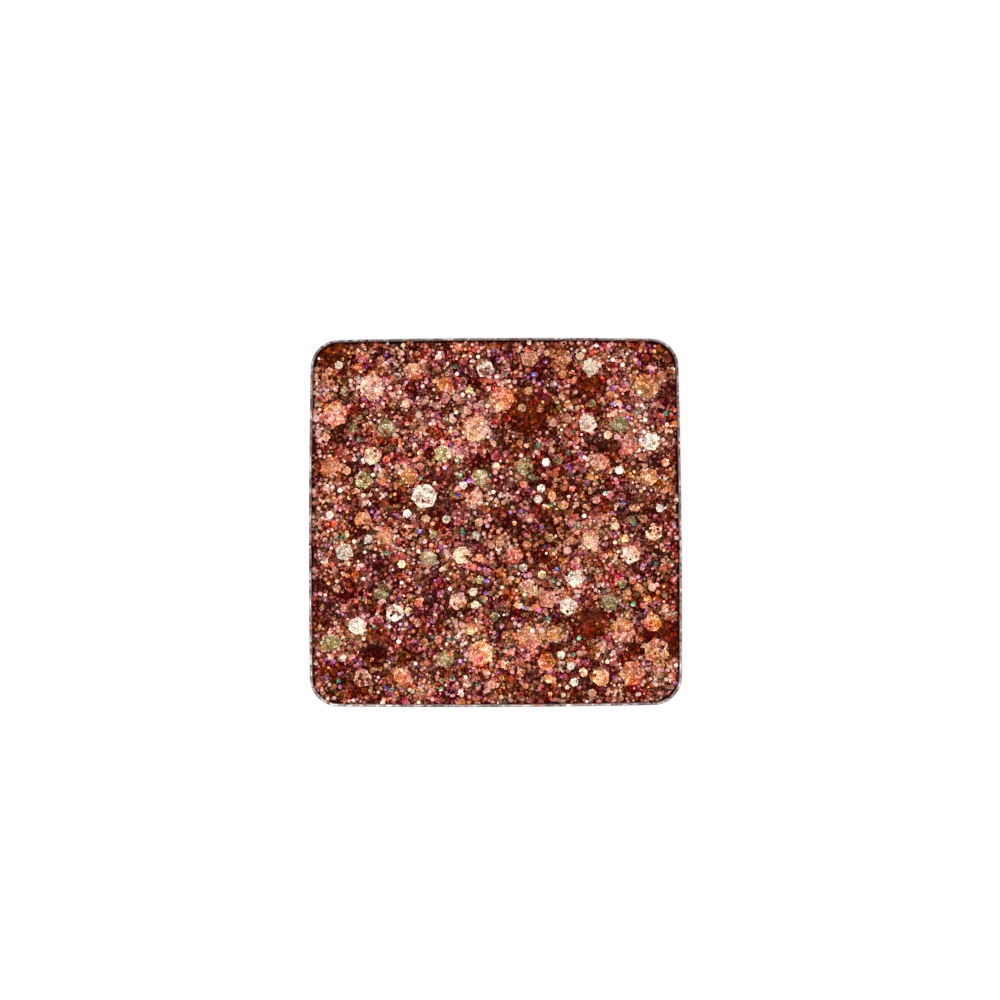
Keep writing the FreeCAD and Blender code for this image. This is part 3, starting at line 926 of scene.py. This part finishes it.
def film_surface(tree, shader, tone, warmth, shades, amber_shades):
    """Metallised film whose shade, painted light, follows its tone, mottled a little with painted glints,
    and whose hue follows its warmth.
    """
    place = object_place(tree)
    # The mottle paints small glints and darker specks into each flake's tone
    mottle = clouds(tree, place, MOTTLES / MM, MOTTLE_DETAIL)["Fac"]
    varied = maths(tree, "ADD", tone, swing(tree, mottle, MOTTLE_SWING), True)
    raised = maths(tree, "ADD", varied, AMBER_LIFT, True)
    plain, under_amber = ramp(tree, varied, shades), ramp(tree, raised, amber_shades)
    tint = mix_colour(tree, attribute(tree, "amber"), plain, under_amber)
    sway = channels(tree, clouds(tree, place, WANDERS / MM, WANDER_DETAIL)["Color"])
    warmed = maths(tree, "ADD", warmth, swing(tree, sway[0], WANDER_SWING))
    hue = carry(tree, warmed, carry(tree, varied, *PINK_HUES), carry(tree, varied, *WARM_HUES))
    strength = carry(tree, sway[1], *STRENGTHS, STRENGTH_START, STRENGTH_END)
    shifts = {"Hue": hue, "Saturation": strength, "Color": tint}
    shifted = put(tree, "ShaderNodeHueSaturation", shifts).outputs[0]
    tree.links.new(shifted, shader.inputs["Base Color"])
    shader.inputs["Metallic"].default_value = FILM_METAL
    shader.inputs["Roughness"].default_value = FILM_ROUGHNESS
    shader.inputs["Specular IOR Level"].default_value = 0.0


def strewn_material(name, shades, amber_shades):
    """Film for strewn flakes: each has its own tone, a rim with painted shade or highlight, and a painted
    lighter end.
    """
    material, tree, shader = new_material(name)
    tone, warmth, ring, rim, across = (
        attribute(tree, layer) for layer in ("tone", "warmth", "ring", "rim", "across")
    )
    # Painted shade or highlight along the rim, and painted light that lightens one end
    edge = maths(tree, "MULTIPLY", maths(tree, "POWER", rim, RIM_POWER), ring)
    slope = maths(tree, "MULTIPLY", across, END_SLOPE)
    shaped = maths(tree, "ADD", maths(tree, "ADD", tone, edge), slope)
    film_surface(tree, shader, shaped, warmth, shades, amber_shades)
    return material


def cut_material(name, shades, amber_shades):
    """Film for the larger cuts: small flakes under and over them show as cells of differing tone, painted
    light.
    """
    material, tree, shader = new_material(name)
    place = object_place(tree)
    grid = {"Vector": place, "Scale": CELLS / MM}
    cells = put(tree, "ShaderNodeTexVoronoi", grid, voronoi_dimensions="2D")
    lines = put(tree, "ShaderNodeTexVoronoi", grid, voronoi_dimensions="2D", feature="DISTANCE_TO_EDGE")
    chance = channels(tree, cells.outputs["Color"])
    body = carry(tree, chance[0], *CELL_TONES)
    line = carry(tree, lines.outputs["Distance"], LINE_SHADE, 0.0, 0.0, LINE_WIDTH)
    lost = swing(tree, clouds(tree, place, LOST_CLOUDS / MM, LOST_DETAIL)["Fac"], LOST_SWING)
    tone = maths(tree, "ADD", maths(tree, "ADD", body, line), lost)
    film_surface(tree, shader, tone, carry(tree, chance[1], *CELL_WARMTHS), shades, amber_shades)
    return material


# The steps


class GLITTERPAN_OT_tray(bpy.types.Operator):
    """Gives the drawn tray its tinplate"""

    bl_idname = "glitterpan.tray"
    bl_label = "Finish Tray"

    def execute(self, context):
        look, film = context.scene.tray_look, context.scene.glitter_look
        gel, gel_light = context.scene.bed_look.gel, context.scene.bed_look.gel_light
        rim_stain = mixed(gel, look.steel, RIM_STAIN_STEEL)
        wall_stain = mixed(gel_light, film.copper, WALL_STAIN_COPPER)
        dust_shades = film_shades(gel, film.copper, film.catch)
        dress(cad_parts["pan"], tin_material(look, rim_stain, wall_stain, dust_shades))
        return {"FINISHED"}


class GLITTERPAN_OT_bed(bpy.types.Operator):
    """Presses the lumpy bed that the glitter lies in"""

    bl_idname = "glitterpan.bed"
    bl_label = "Press Bed"

    def execute(self, context):
        look = context.scene.bed_look
        hand_over(press_bed(look), gel_material(look), "pressed_glitter", "glitter_cake")
        return {"FINISHED"}


class GLITTERPAN_OT_glitter(bpy.types.Operator):
    """Strews the fine flakes of every film over the bed and over the large flakes"""

    bl_idname = "glitterpan.glitter"
    bl_label = "Strew Glitter"

    def execute(self, context):
        bed_look, look = context.scene.bed_look, context.scene.glitter_look
        amber_shades = film_shades(bed_look.gel, bed_look.amber, look.gold)
        grounds = {name: lay_ground(nodes, bed_look) for name, nodes in CUTS.items()}
        grounds["bed"] = bpy.data.objects["glitter_bed"]
        flake, sunken_flake = cut_flake(), cut_sunken_flake()
        for name in dict.fromkeys(fall.piece for fall in FALLS):
            falls = [(number, fall) for number, fall in enumerate(FALLS) if fall.piece == name]
            film = falls[0][1].film
            shape = sunken_flake if film == "sunken" else flake
            strewn = []
            for number, fall in falls:
                sizes = (fall.grade * look.least, fall.grade * look.most)
                seed = look.seed + SEED_STEP * number
                strewn.append(strew(grounds[fall.ground], shape, fall, sizes, look.tilt, seed))
            piece = join(strewn)
            spread_map(piece, len(shape.data.loops))
            shades = film_shades(bed_look.gel, getattr(look, film), look.catch)
            slot = "pressed_glitter" if film == "sunken" else f"{film}_film"
            hand_over(piece, strewn_material(name, shades, amber_shades), slot)
        for spare in (flake, sunken_flake, *(grounds[name] for name in CUTS)):
            bpy.data.objects.remove(spare)
        return {"FINISHED"}


class GLITTERPAN_OT_flakes(bpy.types.Operator):
    """Gives the larger flakes their film"""

    bl_idname = "glitterpan.flakes"
    bl_label = "Dress Flakes"

    def execute(self, context):
        bed_look, look = context.scene.bed_look, context.scene.glitter_look
        amber_shades = film_shades(bed_look.gel, bed_look.amber, look.gold)
        films = {}
        for node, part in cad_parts.items():
            if not node.endswith("_flakes"):
                continue
            film = node.split("_")[1]
            if film not in films:
                shades = film_shades(bed_look.gel, getattr(look, film), look.catch)
                films[film] = cut_material(f"{film}_film", shades, amber_shades)
            dress(part, films[film])
        return {"FINISHED"}


class GLITTERPAN_OT_stage(bpy.types.Operator):
    """Lays the floor, and sets up the light and the camera"""

    bl_idname = "glitterpan.stage"
    bl_label = "Set Stage"

    def execute(self, context):
        look = context.scene.stage_look
        lay_floor(look)
        light_sky(context.scene, look)
        hang_sun(look)
        aim_camera(context.scene, look)
        context.scene.view_settings.view_transform = "Standard"
        return {"FINISHED"}


# The stage

# The picture's width, and the pan's width and middle in it, in pixels
FRAME_PIXELS = 1000
PAN_PIXELS = 372.6
PAN_MIDDLE_PIXEL = (495.2, 521.1)
# The lens sees nothing nearer than this share of its distance from the pan
CLIP_SHARE = 0.1
SUN_PLACE = (-0.03, -0.06, 0.5)
# The floor's reach and its opening, as shares of half the pan's width
FLOOR_REACH = 40
FLOOR_OPENING = 0.87
FLOOR_GAP = 0.005 * MM
FLOOR_ROUGHNESS = 0.9


def seen_plainly(tree):
    """1 for a ray from the camera, a mirror or glass, and 0 for one that only carries light."""
    path = tree.nodes.new("ShaderNodeLightPath")
    mirrored = maths(tree, "MAXIMUM", path.outputs["Is Camera Ray"], path.outputs["Is Glossy Ray"])
    return maths(tree, "MAXIMUM", mirrored, path.outputs["Is Transmission Ray"])


def lay_floor(look):
    """A white floor, open under the pan and clear from below, so that the underside can be looked at."""
    deselect()
    reach = FLOOR_REACH * PAN_HIGH.x
    bpy.ops.mesh.primitive_plane_add(size=2 * reach, location=(0, 0, PAN_LOW.z - FLOOR_GAP))
    floor = bpy.context.object
    floor.name = "floor"
    bpy.ops.object.mode_set(mode="EDIT")
    bpy.ops.mesh.inset(thickness=reach - FLOOR_OPENING * PAN_HIGH.x)
    bpy.ops.mesh.delete(type="FACE")
    bpy.ops.object.mode_set(mode="OBJECT")
    bpy.ops.object.transform_apply(location=True, rotation=False, scale=False)
    material, tree, shader = new_material("floor")
    shader.inputs["Base Color"].default_value = (*look.floor, 1)
    shader.inputs["Roughness"].default_value = FLOOR_ROUGHNESS
    shader.inputs["Specular IOR Level"].default_value = 0.0
    shader.inputs["Emission Color"].default_value = WHITE
    glow = maths(tree, "MULTIPLY", seen_plainly(tree), look.fill)
    tree.links.new(glow, shader.inputs["Emission Strength"])
    clear = maths(tree, "SUBTRACT", 1.0, tree.nodes.new("ShaderNodeNewGeometry").outputs["Backfacing"])
    tree.links.new(clear, shader.inputs["Alpha"])
    dress(floor, material)


def light_sky(scene, look):
    """Even light from all round; a mirror shows it white at the horizon and darker overhead."""
    world = bpy.data.worlds.new("studio")
    world.use_nodes = True
    tree = world.node_tree
    tree.nodes.clear()
    direction = tree.nodes.new("ShaderNodeTexCoord").outputs["Generated"]
    mirrored = carry(tree, axes(tree, direction)[2], 1.0, look.overhead)
    strength = carry(tree, seen_plainly(tree), look.sky, mirrored)
    sky = put(tree, "ShaderNodeBackground", {"Color": WHITE, "Strength": strength})
    put(tree, "ShaderNodeOutputWorld", {"Surface": sky.outputs[0]})
    scene.world = world


def hang_sun(look):
    deselect()
    bpy.ops.object.light_add(type="SUN", location=SUN_PLACE)
    sun = bpy.context.object
    sun.name = "soft_lamp"
    sun.data.energy = look.sun
    sun.data.angle = look.sun_angle
    sun.rotation_euler = Vector(SUN_PLACE).to_track_quat("Z", "Y").to_euler()


def aim_camera(scene, look):
    """Looks down on the pan, leaning from its near side, with the pan where the photograph has it."""
    deselect()
    per_metre = PAN_PIXELS / (PAN_HIGH.x - PAN_LOW.x)
    distance = look.lens / look.sensor * FRAME_PIXELS / per_metre
    aside = (PAN_MIDDLE_PIXEL[0] - FRAME_PIXELS / 2) / per_metre
    above = (FRAME_PIXELS / 2 - PAN_MIDDLE_PIXEL[1]) / per_metre
    turn = Euler((look.lean, 0, -look.spin))
    place = Vector((0, 0, PAN_HIGH.z)) - turn.to_matrix() @ Vector((aside, above, -distance))
    bpy.ops.object.camera_add(location=place, rotation=turn)
    camera = bpy.context.object
    camera.data.lens = look.lens
    camera.data.sensor_width = look.sensor
    camera.data.clip_start = CLIP_SHARE * distance
    scene.camera = camera


class GLITTERPAN_PT_panel(bpy.types.Panel):
    """Lists the steps and the looks they use"""

    bl_idname = "GLITTERPAN_PT_panel"
    bl_label = "Glitter Pan"
    bl_space_type = "VIEW_3D"
    bl_region_type = "UI"
    bl_category = "Glitter Pan"

    def draw(self, context):
        for step, look in zip(STEPS, STEP_LOOKS):
            column = self.layout.column()
            column.operator(step.bl_idname)
            settings = getattr(context.scene, look)
            for name in settings.__annotations__:
                column.prop(settings, name)


LOOKS = {"tray_look": TrayLook, "bed_look": BedLook, "glitter_look": GlitterLook, "stage_look": StageLook}
STEPS = [
    GLITTERPAN_OT_tray,
    GLITTERPAN_OT_bed,
    GLITTERPAN_OT_glitter,
    GLITTERPAN_OT_flakes,
    GLITTERPAN_OT_stage,
]
STEP_LOOKS = ["tray_look", "bed_look", "glitter_look", "glitter_look", "stage_look"]
CLASSES = [*LOOKS.values(), *STEPS, GLITTERPAN_PT_panel]


def register():
    for kind in CLASSES:
        bpy.utils.register_class(kind)
    for name, kind in LOOKS.items():
        setattr(bpy.types.Scene, name, PointerProperty(type=kind))


def unregister():
    for name in LOOKS:
        delattr(bpy.types.Scene, name)
    for kind in reversed(CLASSES):
        bpy.utils.unregister_class(kind)


def main():
    register()
    bpy.ops.glitterpan.tray()
    bpy.ops.glitterpan.bed()
    bpy.ops.glitterpan.glitter()
    bpy.ops.glitterpan.flakes()
    bpy.ops.glitterpan.stage()


if __name__ == "__main__":
    main()
